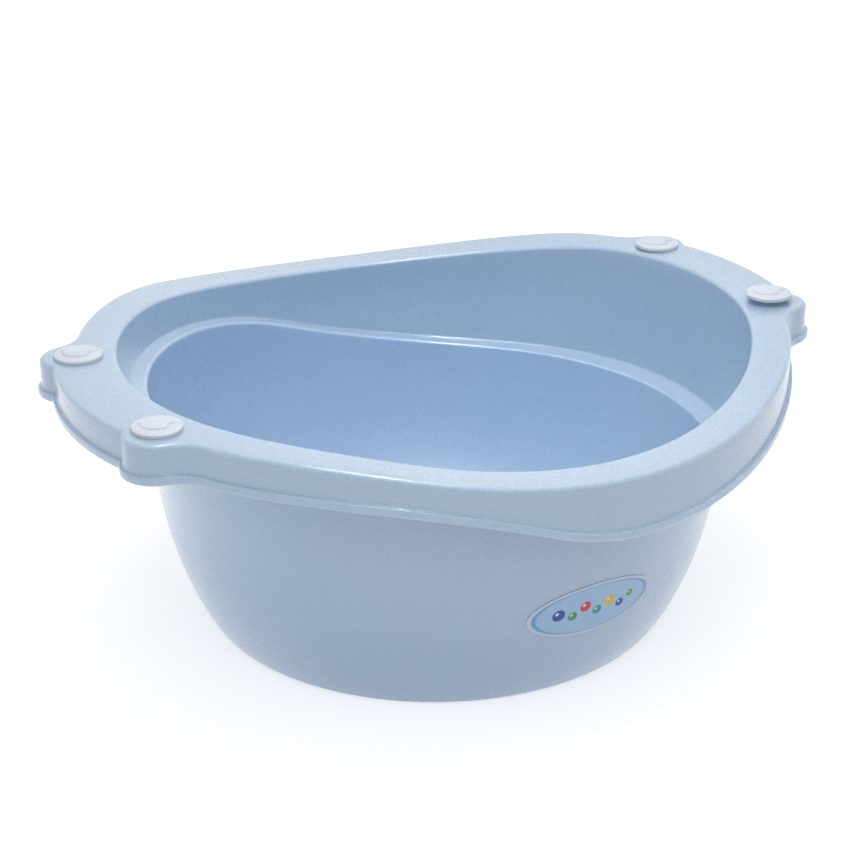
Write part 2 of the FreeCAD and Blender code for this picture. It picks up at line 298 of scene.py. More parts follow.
def roundedRows(rows):  # rows with a radius become arcs of rows
    made = []
    for index, (row, radius) in enumerate(rows):
        if not radius:
            made.append(row)
            continue
        back = rows[index - 1][0] - row
        ahead = rows[index + 1][0] - row
        backLength = np.linalg.norm(back, axis=1)[:, None]
        aheadLength = np.linalg.norm(ahead, axis=1)[:, None]
        back, ahead = back / backLength, ahead / aheadLength
        cosine = np.clip((back * ahead).sum(axis=1)[:, None], -0.9999, 0.9999)
        halfAngle = 0.5 * np.arccos(cosine)
        reach = radius / np.tan(halfAngle)
        reach = np.minimum(reach, 0.49 * np.minimum(backLength, aheadLength))
        bend = reach * np.tan(halfAngle)
        middleWay = back + ahead
        middleWay /= np.linalg.norm(middleWay, axis=1)[:, None]
        middle = row + middleWay * bend / np.sin(halfAngle)
        start, end = row + back * reach - middle, row + ahead * reach - middle
        sweep = math.pi - 2.0 * halfAngle
        for step in range(tub["roundSteps"] + 1):
            share = step / tub["roundSteps"]
            spoke = np.sin((1.0 - share) * sweep) * start + np.sin(share * sweep) * end
            made.append(middle + spoke / np.sin(sweep))
    return made


def makeTubMesh():
    points, normals, turns = rimOutline()
    wall = tub["wall"]
    inside = wall + tub["panelLift"]

    def level(z):
        return lambda x: np.full_like(x, z)

    def lowered(heightAt, drop):
        return lambda x: heightAt(x) - drop

    def flatOval(wallAt, z, grow=0.0, share=1.0):
        row = wallRow(wallAt, level(z), turns, grow)
        row[:, :2] *= share
        return row

    floorEdge = flatOval(bowlInside, inside)
    lip = wallRow(bowlInside, ledgeTop, turns)
    ledgeBack = wallRow(upperWall, ledgeTop, turns)
    rimInner = wallRow(upperWall, rimTop, turns)
    rimInnerFlat = wallRow(upperWall, rimTop, turns, tub["rimInnerRound"] + 2.0)
    rimOuterFlat = outlineRow(points, normals, -tub["rimOuterRound"] - 1.0, rimTop)
    rimOuter = outlineRow(points, normals, 0.0, rimTop)
    rimMiddle = 0.5 * (rimInnerFlat + rimOuterFlat)
    rimMiddle[:, 2] = rimTop(rimMiddle[:, 0])
    beadTop = lowered(apronFoot, -tub["beadHeight"])
    underRim = lowered(rimTop, wall)
    underLedge = lowered(ledgeTop, wall)
    apronLow = outlineRow(points, normals, 0.0, beadTop)
    apronInsideTop = outlineRow(points, normals, -wall, underRim)
    apronInsideLow = outlineRow(points, normals, -wall, apronFoot)
    bandTop = wallRow(upperWall, underRim, turns, wall)
    bandLow = wallRow(upperWall, underLedge, turns, wall)
    bowlTop = wallRow(bowlWall, underLedge, turns)
    foot = flatOval(bowlWall, 0.0)
    panel = flatOval(bowlWall, 0.0, -tub["footRing"])
    panelRaised = panel + np.array([0.0, 0.0, tub["panelLift"]])

    wallShares = 1.0 - (1.0 - np.linspace(0.03, 0.95, tub["wallRows"])) ** 1.15
    rows = [(flatOval(bowlInside, inside, 0.0, share), 0.0) for share in (0.3, 0.6, 0.85)]
    rows += [(floorEdge, tub["floorRound"])]
    rows += [(row, 0.0) for row in rowsBetween(bowlInside, floorEdge, lip, turns, wallShares[1:])]
    rows += [(lip, tub["ledgeRound"]), (ledgeBack, tub["ledgeBackRound"])]
    rows += [(row, 0.0) for row in rowsBetween(upperWall, ledgeBack, rimInner, turns,
                                               (0.12, 0.3, 0.5, 0.7, 0.85))]
    rows += [(rimInner, tub["rimInnerRound"]), (rimInnerFlat, 0.0), (rimMiddle, 0.0)]
    rows += [(rimOuterFlat, 0.0), (rimOuter, tub["rimOuterRound"])]
    rows += [(rimOuter + share * (apronLow - rimOuter), 0.0) for share in (0.45, 0.75)]
    rows += [
        (apronLow, tub["seamRound"]),
        (outlineRow(points, normals, tub["beadFlare"], beadTop), tub["beadRound"]),
        (outlineRow(points, normals, tub["beadFlare"], apronFoot), tub["beadRound"]),
        (apronInsideLow, tub["panelRound"]),
        (0.5 * (apronInsideLow + apronInsideTop), 0.0),
        (apronInsideTop, tub["underRimRound"]),
        (bandTop, tub["underRimRound"]),
    ]
    rows += [(row, 0.0) for row in rowsBetween(upperWall, bandTop, bandLow, turns,
                                               (0.2, 0.5, 0.8), wall)]
    rows += [(bandLow, tub["seamRound"]), (bowlTop, tub["seamRound"])]
    rows += [(row, 0.0) for row in rowsBetween(bowlWall, foot, bowlTop, turns, wallShares[::-1])]
    rows += [(foot, tub["footRound"]), (panel, tub["panelRound"])]
    rows += [(panelRaised, tub["panelRound"])]
    rows += [(panelRaised * np.array([0.5, 0.5, 1.0]), 0.0)]
    rows = roundedRows(rows)

    count = len(turns)
    vertices = np.concatenate(rows + [[[0.0, 0.0, inside]], [[0.0, 0.0, tub["panelLift"]]]])
    faces = []
    for row in range(len(rows) - 1):
        for step in range(count):
            after = (step + 1) % count
            here, there = row * count, (row + 1) * count
            faces.append((here + step, here + after, there + after, there + step))
    floorMiddle, panelMiddle = len(vertices) - 2, len(vertices) - 1
    last = (len(rows) - 1) * count
    for step in range(count):
        after = (step + 1) % count
        faces.append((floorMiddle, after, step))
        faces.append((panelMiddle, last + step, last + after))
    mesh = bpy.data.meshes.new("tubShell")
    mesh.from_pydata((vertices * mm).tolist(), [], faces)
    shape = bmesh.new()
    shape.from_mesh(mesh)
    bmesh.ops.recalc_face_normals(shape, faces=shape.faces)
    if shape.calc_volume(signed=True) < 0.0:
        bmesh.ops.reverse_faces(shape, faces=shape.faces)
    shape.to_mesh(mesh)
    shape.free()
    return mesh


def addObject(name, mesh):
    made = bpy.data.objects.new(name, mesh)
    bpy.context.scene.collection.objects.link(made)
    return made


def plainMesh(source, name):  # the evaluated shape, as a mesh of its own
    bpy.context.view_layer.update()
    graph = bpy.context.evaluated_depsgraph_get()
    mesh = bpy.data.meshes.new_from_object(source.evaluated_get(graph))
    mesh.name = name
    return mesh


def cutHoles(shell):  # the four holes that the caps plug
    shape = bmesh.new()
    for side in (-1, 1):
        for across in (-1, 1):
            middle = Vector((side * tub["holeX"], across * tub["holeY"], tub["height"])) * mm
            bmesh.ops.create_cone(shape, cap_ends=True, segments=64, depth=20 * mm,
                                  radius1=tub["holeRadius"] * mm, radius2=tub["holeRadius"] * mm,
                                  matrix=Matrix.Translation(middle))
    cutterMesh = bpy.data.meshes.new("holeCutter")
    shape.to_mesh(cutterMesh)
    shape.free()
    cutter = addObject("holeCutter", cutterMesh)
    cut = shell.modifiers.new("holes", "BOOLEAN")
    cut.operation = "DIFFERENCE"
    cut.solver = "EXACT"
    cut.object = cutter
    finished = plainMesh(shell, "tubMoulding")
    shell.modifiers.remove(cut)
    bpy.data.objects.remove(cutter)
    shell.data = finished


tubMoulding = addObject("tubMoulding", makeTubMesh())
cutHoles(tubMoulding)
tubMoulding.data.shade_smooth()
tubMoulding.data.set_sharp_from_angle(angle=math.radians(38.0))
print("tub moulding:", len(tubMoulding.data.polygons), "faces")


def newGroup(name, inputs, outputs):
    group = bpy.data.node_groups.new(name, "ShaderNodeTree")
    for label, kind, value in inputs:
        socket = group.interface.new_socket(label, in_out="INPUT", socket_type=kind)
        socket.default_value = value
    for label, kind in outputs:
        group.interface.new_socket(label, in_out="OUTPUT", socket_type=kind)
    return group, group.nodes.new("NodeGroupInput"), group.nodes.new("NodeGroupOutput")


def addNode(tree, kind, settings=None, values=None):
    node = tree.nodes.new(kind)
    for key, value in (settings or {}).items():
        setattr(node, key, value)
    for key, value in (values or {}).items():
        if isinstance(value, bpy.types.NodeSocket):
            tree.links.new(value, node.inputs[key])
        else:
            node.inputs[key].default_value = value
    return node


def addMath(tree, operation, first, second=0.0, clamp=False):
    node = addNode(tree, "ShaderNodeMath", {"operation": operation, "use_clamp": clamp},
                   {0: first, 1: second})
    return node.outputs[0]


def addMultiplyAdd(tree, first, second, third):
    value = addMath(tree, "MULTIPLY_ADD", first, second)
    if isinstance(third, bpy.types.NodeSocket):
        tree.links.new(third, value.node.inputs[2])
    else:
        value.node.inputs[2].default_value = third
    return value


def makeGrainGroup():  # fine orange peel of a moulded surface
    group, given, out = newGroup(
        "mouldedGrain",
        [("Scale", "NodeSocketFloat", 900.0), ("Depth", "NodeSocketFloat", 0.5)],
        [("Height", "NodeSocketFloat")])
    place = addNode(group, "ShaderNodeTexCoord").outputs["Object"]
    fine = addNode(group, "ShaderNodeTexNoise", None,
                   {"Vector": place, "Scale": given.outputs["Scale"], "Detail": 2.0})
    height = addMath(group, "MULTIPLY", fine.outputs["Fac"], given.outputs["Depth"])
    group.links.new(height, out.inputs["Height"])
    return group


def makePearlGroup():  # mica flakes and slow drift of the pearl colour
    group, given, out = newGroup(
        "pearlFlakes",
        [("Base", "NodeSocketColor", (0.5, 0.5, 0.5, 1)),
         ("Flake", "NodeSocketColor", (1, 1, 1, 1)),
         ("Scale", "NodeSocketFloat", 1500.0), ("Amount", "NodeSocketFloat", 0.2),
         ("Drift", "NodeSocketFloat", 0.1)],
        [("Color", "NodeSocketColor"), ("Flakes", "NodeSocketFloat")])
    place = addNode(group, "ShaderNodeTexCoord").outputs["Object"]
    cells = addNode(group, "ShaderNodeTexVoronoi", None,
                    {"Vector": place, "Scale": given.outputs["Scale"]})
    bright = addNode(group, "ShaderNodeSeparateColor", None, {0: cells.outputs["Color"]})
    flakes = addMath(group, "POWER", bright.outputs[0], 3.0)
    slow = addNode(group, "ShaderNodeTexNoise", None,
                   {"Vector": place, "Scale": 9.0, "Detail": 3.0})
    drift = addMath(group, "MULTIPLY", addMath(group, "SUBTRACT", slow.outputs["Fac"], 0.5),
                    given.outputs["Drift"])
    weight = addMath(group, "MULTIPLY", flakes, given.outputs["Amount"])
    weight = addMath(group, "ADD", weight, drift, True)
    mixed = addNode(group, "ShaderNodeMix", {"data_type": "RGBA"},
                    {0: weight, 6: given.outputs["Base"], 7: given.outputs["Flake"]})
    group.links.new(mixed.outputs[2], out.inputs["Color"])
    group.links.new(flakes, out.inputs["Flakes"])
    return group


def makeWearGroup():  # hairline scratches from handling and stacking
    group, given, out = newGroup(
        "handlingWear",
        [("Scale", "NodeSocketFloat", 30.0), ("Amount", "NodeSocketFloat", 0.5)],
        [("Mask", "NodeSocketFloat")])
    place = addNode(group, "ShaderNodeTexCoord").outputs["Object"]
    bent = addNode(group, "ShaderNodeTexNoise", None, {"Vector": place, "Scale": 6.0})
    push = addNode(group, "ShaderNodeVectorMath", {"operation": "SCALE"},
                   {0: bent.outputs["Color"], "Scale": 0.08})
    moved = addNode(group, "ShaderNodeVectorMath", {"operation": "ADD"},
                    {0: place, 1: push.outputs[0]})
    lines = addNode(group, "ShaderNodeTexVoronoi", {"feature": "DISTANCE_TO_EDGE"},
                    {"Vector": moved.outputs[0], "Scale": given.outputs["Scale"]})
    thin = addMath(group, "LESS_THAN", lines.outputs["Distance"], 0.006)
    where = addNode(group, "ShaderNodeTexNoise", None,
                    {"Vector": place, "Scale": 14.0, "Detail": 2.0})
    patch = addMath(group, "SUBTRACT", where.outputs["Fac"], 0.6)
    patch = addMath(group, "MULTIPLY", patch, 6.0, True)
    mask = addMath(group, "MULTIPLY", thin, patch)
    mask = addMath(group, "MULTIPLY", mask, given.outputs["Amount"], True)
    group.links.new(mask, out.inputs["Mask"])
    return group


grainGroup = makeGrainGroup()
pearlGroup = makePearlGroup()
wearGroup = makeWearGroup()


def srgb(red, green, blue):  # a colour read, 0-255, as the shader wants it
    def linear(value):
        value /= 255.0
        return value / 12.92 if value <= 0.04045 else ((value + 0.055) / 1.055) ** 2.4
    return (linear(red), linear(green), linear(blue), 1.0)


def newMaterial(name):
    material = bpy.data.materials.new(name)
    material.use_nodes = True
    tree = material.node_tree
    return material, tree, tree.nodes["Principled BSDF"]


def addGroup(tree, group, values):
    node = tree.nodes.new("ShaderNodeGroup")
    node.node_tree = group
    for key, value in values.items():
        node.inputs[key].default_value = value
    return node


def addBump(tree, shader, height, strength, distance):
    bump = addNode(tree, "ShaderNodeBump", None,
                   {"Height": height, "Strength": strength, "Distance": distance})
    tree.links.new(bump.outputs[0], shader.inputs["Normal"])


pearlPlastic = {
    "base": srgb(174, 196, 220),
    "flake": srgb(222, 233, 245),
    "metallic": 0.15,
    "roughness": 0.33,
    "coat": 0.7,
    "coatRoughness": 0.15,
    "glow": 0.55,            # light that passes through the thin wall
    "glowDepth": 0.012,
    "flakeScale": 1400.0,
    "flakeAmount": 0.06,
    "drift": 0.06,           # slow change of colour over the surface
    "wearScale": 26.0,
    "wearAmount": 0.08,
    "grainScale": 700.0,
    "grainStrength": 0.04,
}


def addPearl(tree, finish):
    return addGroup(tree, pearlGroup, {"Base": finish["base"], "Flake": finish["flake"],
                                       "Scale": finish["flakeScale"],
                                       "Amount": finish["flakeAmount"], "Drift": finish["drift"]})


def makePearlPlastic():
    material, tree, shader = newMaterial("pearlPlastic")
    pearl = addPearl(tree, pearlPlastic)
    wear = addGroup(tree, wearGroup, {"Scale": pearlPlastic["wearScale"],
                                      "Amount": pearlPlastic["wearAmount"]})
    grain = addGroup(tree, grainGroup, {"Scale": pearlPlastic["grainScale"], "Depth": 1.0})
    worn = addNode(tree, "ShaderNodeMix", {"data_type": "RGBA"},
                   {0: wear.outputs["Mask"], 6: pearl.outputs["Color"], 7: pearlPlastic["flake"]})
    tree.links.new(worn.outputs[2], shader.inputs["Base Color"])
    rough = addMultiplyAdd(tree, pearl.outputs["Flakes"], -0.08, pearlPlastic["roughness"])
    tree.links.new(rough, shader.inputs["Roughness"])
    shader.inputs["Metallic"].default_value = pearlPlastic["metallic"]
    shader.inputs["Subsurface Weight"].default_value = pearlPlastic["glow"]
    shader.inputs["Subsurface Scale"].default_value = pearlPlastic["glowDepth"]
    shader.inputs["Subsurface Radius"].default_value = (0.9, 1.0, 1.1)
    shader.inputs["Coat Weight"].default_value = pearlPlastic["coat"]
    shader.inputs["Coat Roughness"].default_value = pearlPlastic["coatRoughness"]
    addBump(tree, shader, grain.outputs["Height"], pearlPlastic["grainStrength"], 0.0001)
    return material


capPlastic = {
    "base": srgb(216, 224, 236),
    "flake": srgb(245, 248, 252),
    "roughness": 0.42,
    "flakeScale": 1100.0,
    "flakeAmount": 0.2,
    "drift": 0.1,
    "grainScale": 1100.0,
    "grainStrength": 0.15,
}


def makeCapPlastic():
    material, tree, shader = newMaterial("capPlastic")
    pearl = addPearl(tree, capPlastic)
    grain = addGroup(tree, grainGroup, {"Scale": capPlastic["grainScale"], "Depth": 1.0})
    tree.links.new(pearl.outputs["Color"], shader.inputs["Base Color"])
    rough = addMultiplyAdd(tree, grain.outputs["Height"], 0.1, capPlastic["roughness"] - 0.05)
    tree.links.new(rough, shader.inputs["Roughness"])
    addBump(tree, shader, grain.outputs["Height"], capPlastic["grainStrength"], 0.0002)
    return material


def setMaterial(item, material):
    item.data.materials.clear()
    item.data.materials.append(material)


pearlMaterial = makePearlPlastic()
capMaterial = makeCapPlastic()
setMaterial(tubMoulding, pearlMaterial)
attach(tubMoulding, "tub")
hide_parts("tub")
print("tub finished")


# one plug cap, millimetres; all four come from the same tree
cap = {
    "faceRadius": 20.2,
    "faceThickness": 3.2,
    "edgeRound": 1.2,
    "grooveRadius": 17.2,
    "grooveDepth": 0.5,
    "turn": 25.0,            # degrees
    "legCount": 4,
    "legRadius": 7.7,        # middle of the leg's thickness
    "legThickness": 1.6,
    "legHeight": 11.0,
    "legStart": 25.0,        # degrees, the first leg's near edge
    "legSweep": 40.0,        # degrees of the sleeve that each leg keeps
    "barbHeight": 2.0,
    "barbThickness": 2.2,
    "nubRadius": 0.9,
    "nubHeight": 1.9,
    "reliefHeight": 1.7,
    "faceTurns": 120,        # mesh steps
    "faceRings": 44,
    "edgeRings": 6,
    "places": {
        "cap_left_rear": (-290.0, 86.5, 252.0),
        "cap_left_front": (-290.0, -86.5, 252.0),
        "cap_right_rear": (290.0, 86.5, 252.0),
        "cap_right_front": (290.0, -86.5, 256.0),
    },
}
duck = {
    "body": ((-1.5, -2.4), (10.2, 6.0)),      # middle and half sizes
    "wing": ((-3.4, -1.9), (5.2, 3.0)),
    "head": ((5.6, 5.2), 5.0),
    "eye": ((7.2, 6.4), 0.85),
    "beak": ((9.4, 7.3), (14.2, 5.3), (9.4, 3.4)),
    "tail": ((-8.4, 2.0), (-13.6, 4.6), (-11.4, -2.6)),
    "slope": 0.9,
    "turn": -53.0,           # degrees on the cap, so it stands upright from the front
    "moatDepth": 0.7,        # sunk line all round the relief
}


def ovalDistance(x, y, middle, halves):  # below zero inside, about millimetres
    flatX, flatY = (x - middle[0]) / halves[0], (y - middle[1]) / halves[1]
    return (np.hypot(flatX, flatY) - 1.0) * min(halves)


def triangleDistance(x, y, corners):
    far = np.full_like(x, -1e9)
    middle = np.mean(corners, axis=0)
    for (ax, ay), (bx, by) in zip(corners, corners[1:] + corners[:1]):
        acrossX, acrossY = by - ay, ax - bx
        length = math.hypot(acrossX, acrossY)
        if (middle[0] - ax) * acrossX + (middle[1] - ay) * acrossY > 0.0:
            length = -length
        far = np.maximum(far, ((x - ax) * acrossX + (y - ay) * acrossY) / length)
    return far


def raised(distance, slope):  # 0 outside, 1 inside, with a soft shoulder
    share = np.clip(0.5 - distance / slope, 0.0, 1.0)
    return share * share * (3.0 - 2.0 * share)


def duckRelief(x, y):
    turn = math.radians(duck["turn"])
    x, y = x * math.cos(turn) + y * math.sin(turn), y * math.cos(turn) - x * math.sin(turn)
    body = ovalDistance(x, y, *duck["body"])
    head = ovalDistance(x, y, duck["head"][0], (duck["head"][1],) * 2)
    beak = triangleDistance(x, y, duck["beak"]) - 0.5
    tail = triangleDistance(x, y, duck["tail"]) - 0.5
    height = np.maximum(0.72 * raised(np.minimum(body, tail), duck["slope"]),
                        0.8 * raised(head, duck["slope"]))
    height = np.maximum(height, 0.5 * raised(beak, duck["slope"]))
    height = height + 0.14 * np.clip(-np.minimum(body, head) / 5.0, 0.0, 1.0)
    wing = ovalDistance(x, y, *duck["wing"])
    height = height + 0.22 * raised(wing, 0.8)
    eye = ovalDistance(x, y, duck["eye"][0], (duck["eye"][1],) * 2)
    height = height - 0.55 * raised(eye, 0.6)
    outline = np.minimum(np.minimum(body, head), np.minimum(beak, tail))
    moat = raised(np.abs(outline - 1.0) - 0.45, 0.6)
    return cap["reliefHeight"] * np.clip(height, 0.0, 1.0) - duck["moatDepth"] * moat


def makeCapFace():
    turns = np.linspace(0.0, 2.0 * math.pi, cap["faceTurns"] + 1)[:-1]
    radius, thick, bend = cap["faceRadius"], cap["faceThickness"], cap["edgeRound"]
    rings = [(r, thick) for r in np.linspace(0.45, radius - bend, cap["faceRings"])]
    rings += [(radius - bend + bend * math.sin(turn), thick - bend + bend * math.cos(turn))
              for turn in np.linspace(0.2, 0.5 * math.pi, cap["edgeRings"])]
    rings += [(radius, 0.3), (radius - 0.3, 0.0), (0.5 * radius, 0.0)]
    vertices = []
    for ringRadius, z in rings:
        x, y = ringRadius * np.cos(turns), ringRadius * np.sin(turns)
        height = np.full_like(x, z)
        if z == thick:
            height += duckRelief(x, y)
            fromGroove = abs(ringRadius - cap["grooveRadius"]) - 0.3
            height -= cap["grooveDepth"] * raised(fromGroove, 0.8)
        vertices.append(np.stack([x, y, height], axis=1))
    top = thick + duckRelief(np.zeros(1), np.zeros(1))[0]
    vertices = np.concatenate(vertices + [[[0.0, 0.0, top]], [[0.0, 0.0, 0.0]]])
    count, faces = len(turns), []
    for ring in range(len(rings) - 1):
        for step in range(count):
            after = (step + 1) % count
            faces.append((ring * count + step, (ring + 1) * count + step,
                          (ring + 1) * count + after, ring * count + after))
    last = (len(rings) - 1) * count
    for step in range(count):
        after = (step + 1) % count
        faces.append((len(vertices) - 2, step, after))
        faces.append((len(vertices) - 1, last + after, last + step))
    mesh = bpy.data.meshes.new("capFace")
    mesh.from_pydata((vertices * mm).tolist(), [], faces)
    return mesh


def newTree(name, inputs):
    tree = bpy.data.node_groups.new(name, "GeometryNodeTree")
    tree.interface.new_socket("Geometry", in_out="INPUT", socket_type="NodeSocketGeometry")
    for label, kind, value in inputs:
        socket = tree.interface.new_socket(label, in_out="INPUT", socket_type=kind)
        if value is not None:
            socket.default_value = value
    tree.interface.new_socket("Geometry", in_out="OUTPUT", socket_type="NodeSocketGeometry")
    return tree, tree.nodes.new("NodeGroupInput").outputs, tree.nodes.new("NodeGroupOutput")


def endTree(tree, geometry, material, out):  # every tree ends the same way
    real = addNode(tree, "GeometryNodeRealizeInstances", None, {"Geometry": geometry})
    painted = addNode(tree, "GeometryNodeSetMaterial", None,
                      {"Geometry": real.outputs[0], "Material": material})
    tree.links.new(painted.outputs[0], out.inputs[0])


def joined(tree, parts):
    join = tree.nodes.new("GeometryNodeJoinGeometry")
    for part in parts:
        tree.links.new(part, join.inputs[0])
    return join.outputs[0]


def grown(name, source, tree, values, material):  # one piece from a tree, as a plain mesh
    item = addObject(name, source)
    modifier = item.modifiers.new("tree", "NODES")
    modifier.node_group = tree
    sockets = {socket.name: socket.identifier for socket in tree.interface.items_tree
               if socket.in_out == "INPUT"}
    for key, value in values.items():
        modifier[sockets[key]] = value
    mesh = plainMesh(item, name)
    item.modifiers.remove(modifier)
    item.data = mesh
    setMaterial(item, material)
    item.data.shade_smooth()
    item.data.set_sharp_from_angle(angle=math.radians(42.0))
    return item


capLengths = ("Leg Radius", "Leg Thickness", "Leg Height", "Barb Height", "Barb Thickness",
              "Face Radius", "Face Thickness", "Nub Radius", "Nub Height")
capTurns = ("Turn", "Leg Start", "Leg Sweep")
labelLengths = ("Centre X", "Centre Z", "Half Length", "Half Height", "Lift", "Thickness")


def sizesFrom(source, names, unit):  # "Leg Radius" is the dictionary's legRadius
    return {name: source[name[0].lower() + name[1:].replace(" ", "")] * unit for name in names}


def makeCapTree():  # the face, with its split legs, barbs and gate nubs set round it
    inputs = [(name, "NodeSocketFloat", 0.001) for name in capLengths + capTurns]
    inputs += [("Leg Count", "NodeSocketInt", 4), ("Place", "NodeSocketVector", (0, 0, 0)),
               ("Material", "NodeSocketMaterial", None)]
    tree, given, out = newTree("plugCap", inputs)

    def legArc(thickness, height, middleZ):
        arc = addNode(tree, "GeometryNodeCurveArc", None,
                      {"Resolution": 10, "Radius": given["Leg Radius"], "Start Angle": 0.0,
                       "Sweep Angle": given["Leg Sweep"]})
        upright = addNode(tree, "GeometryNodeSetCurveNormal", None, {"Curve": arc.outputs[0]})
        upright.mode = "Z_UP"
        section = addNode(tree, "GeometryNodeCurvePrimitiveQuadrilateral", None,
                          {"Width": thickness, "Height": height})
        swept = addNode(tree, "GeometryNodeCurveToMesh", None,
                        {"Curve": upright.outputs[0], "Profile Curve": section.outputs[0],
                         "Fill Caps": True})
        lowered = addNode(tree, "ShaderNodeCombineXYZ", None, {"Z": middleZ})
        moved = addNode(tree, "GeometryNodeTransform", None,
                        {"Geometry": swept.outputs[0], "Translation": lowered.outputs[0]})
        return moved.outputs[0]

    halfLeg = addMath(tree, "MULTIPLY", given["Leg Height"], -0.5)
    halfBarb = addMath(tree, "MULTIPLY", given["Barb Height"], 0.5)
    barbZ = addMath(tree, "SUBTRACT", halfBarb, given["Leg Height"])
    leg = joined(tree, [legArc(given["Leg Thickness"], given["Leg Height"], halfLeg),
                        legArc(given["Barb Thickness"], given["Barb Height"], barbZ)])
    index = addNode(tree, "GeometryNodeInputIndex").outputs[0]
    step = addMath(tree, "DIVIDE", 2.0 * math.pi, given["Leg Count"])
    around = addNode(tree, "ShaderNodeCombineXYZ", None,
                     {"Z": addMultiplyAdd(tree, index, step, given["Leg Start"])})
    spots = addNode(tree, "GeometryNodePoints", None, {"Count": given["Leg Count"]})
    legs = addNode(tree, "GeometryNodeInstanceOnPoints", None,
                   {"Points": spots.outputs[0], "Instance": leg, "Rotation": around.outputs[0]})

    nub = addNode(tree, "GeometryNodeMeshCylinder", None,
                  {"Vertices": 16, "Radius": given["Nub Radius"], "Depth": given["Nub Height"]})
    nubTurn = addMultiplyAdd(tree, index, 0.5 * math.pi, 0.25 * math.pi)
    reach = addMath(tree, "SUBTRACT", given["Face Radius"], 0.0002)
    nubPlace = addNode(tree, "ShaderNodeCombineXYZ", None, {
        "X": addMath(tree, "MULTIPLY", addMath(tree, "COSINE", nubTurn), reach),
        "Y": addMath(tree, "MULTIPLY", addMath(tree, "SINE", nubTurn), reach),
        "Z": addMath(tree, "MULTIPLY", given["Face Thickness"], 0.5)})
    nubSpots = addNode(tree, "GeometryNodePoints", None,
                       {"Count": 2, "Position": nubPlace.outputs[0]})
    nubs = addNode(tree, "GeometryNodeInstanceOnPoints", None,
                   {"Points": nubSpots.outputs[0], "Instance": nub.outputs[0]})

    turned = addNode(tree, "ShaderNodeCombineXYZ", None, {"Z": given["Turn"]})
    whole = joined(tree, [given["Geometry"], legs.outputs[0], nubs.outputs[0]])
    placed = addNode(tree, "GeometryNodeTransform", None,
                     {"Geometry": whole, "Translation": given["Place"],
                      "Rotation": turned.outputs[0]})
    endTree(tree, placed.outputs[0], given["Material"], out)
    return tree


capTree = makeCapTree()
capFace = makeCapFace()
for name, place in cap["places"].items():
    parts = name.split("_")
    pieceName = "plugCap" + parts[1].capitalize() + parts[2].capitalize()
    values = sizesFrom(cap, capLengths, mm)
    values.update(sizesFrom(cap, capTurns, math.radians(1.0)))
    values.update({"Leg Count": cap["legCount"], "Place": [value * mm for value in place],
                   "Material": capMaterial})
    piece = grown(pieceName, capFace, capTree, values, capMaterial)
    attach(piece, name)
    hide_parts(name)
print("four plug caps:", len(piece.data.polygons), "faces each")


# printed oval film on the front of the bowl, millimetres
label = {
    "centreX": 10.0,
    "centreZ": 91.0,
    "halfLength": 60.0,
    "halfHeight": 24.5,
    "lift": 0.05,
    "thickness": 0.5,
    "fill": srgb(172, 208, 242),
    "ring": srgb(112, 176, 222),
    "margin": srgb(216, 220, 240),
    "ringHalves": (56.5, 22.3),
    "fillHalves": (52.5, 21.5),
    "shine": (0.9, 0.95, 1.0, 1.0),
    "scratch": (0.85, 0.9, 0.96, 1.0),
    "wearScale": 60.0,
    "wearAmount": 0.3,
    "creaseScale": 9.0,
    "roughness": 0.3,
    "sheetVertices": (97, 41),
    "dots": (                # along, up, radius, colour
        (-33.0, 1.0, 5.6, srgb(38, 78, 170)),
        (-20.0, -3.0, 4.2, srgb(60, 160, 84)),
        (-9.0, 4.0, 5.0, srgb(214, 60, 66)),
        (3.0, -2.5, 4.4, srgb(38, 158, 168)),
        (14.5, 3.0, 5.2, srgb(240, 196, 60)),
        (26.0, -3.0, 4.0, srgb(38, 78, 170)),
        (35.5, 3.0, 3.4, srgb(60, 160, 84)),
    ),
}


